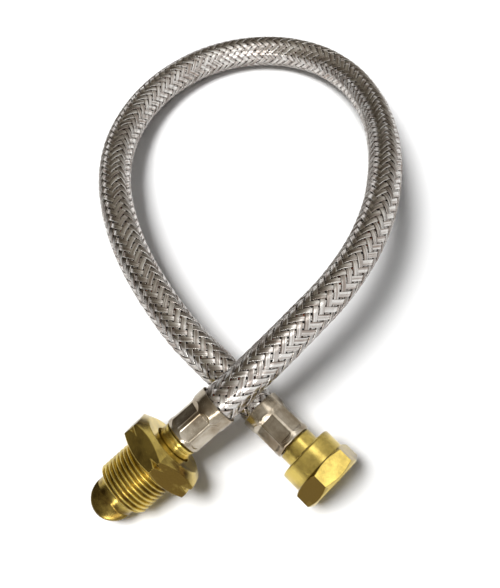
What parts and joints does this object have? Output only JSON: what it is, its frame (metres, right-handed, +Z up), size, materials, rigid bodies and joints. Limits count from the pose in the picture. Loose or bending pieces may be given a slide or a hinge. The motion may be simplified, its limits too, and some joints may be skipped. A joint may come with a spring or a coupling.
{
  "type": "flexible gas hose",
  "caption": "Braided flexible gas hose in a loop, with a bull-nose spigot and left-hand male nut on one end and a swivel female nut on the other.",
  "frame": {"origin": "bottom centre of the bounding box of the hose as it lies on a table", "axes": "+Z up from the table, +Y along the loop's length from the fittings to the far bend, +X to the right seen from the fittings"},
  "size_m": [0.1412, 0.2575, 0.0467],
  "materials": {
    "wire_braid": "woven stainless wire",
    "hose_rubber": "matte",
    "ferrule_steel": "polished stainless",
    "spigot_brass": "machined, darkened",
    "nut_brass": "machined",
    "washer_rubber": "matte"
  },
  "bodies": {
    "hose": {"braid_sleeve": "wire_braid", "hose_liner": "hose_rubber", "ferrule_male_end": "ferrule_steel", "bull_nose_spigot": "spigot_brass", "ferrule_female_end": "ferrule_steel", "flat_seat_tail": "nut_brass", "sealing_washer": "washer_rubber"},
    "male_nut": {"male_nut": "nut_brass"},
    "female_nut": {"female_nut": "nut_brass"}
  },
  "joints": [
    {"name": "male_nut_spin", "type": "hinge", "parent": "hose", "child": "male_nut", "pos_m": [-0.03666, -0.11034, 0.01536], "axis": [-0.7443, -0.5518, -0.3762], "continuous": true},
    {"name": "female_nut_spin", "type": "hinge", "parent": "hose", "child": "female_nut", "pos_m": [0.02784, -0.11094, 0.01255], "axis": [0.7042, -0.7047, -0.0872], "continuous": true}
  ]
}
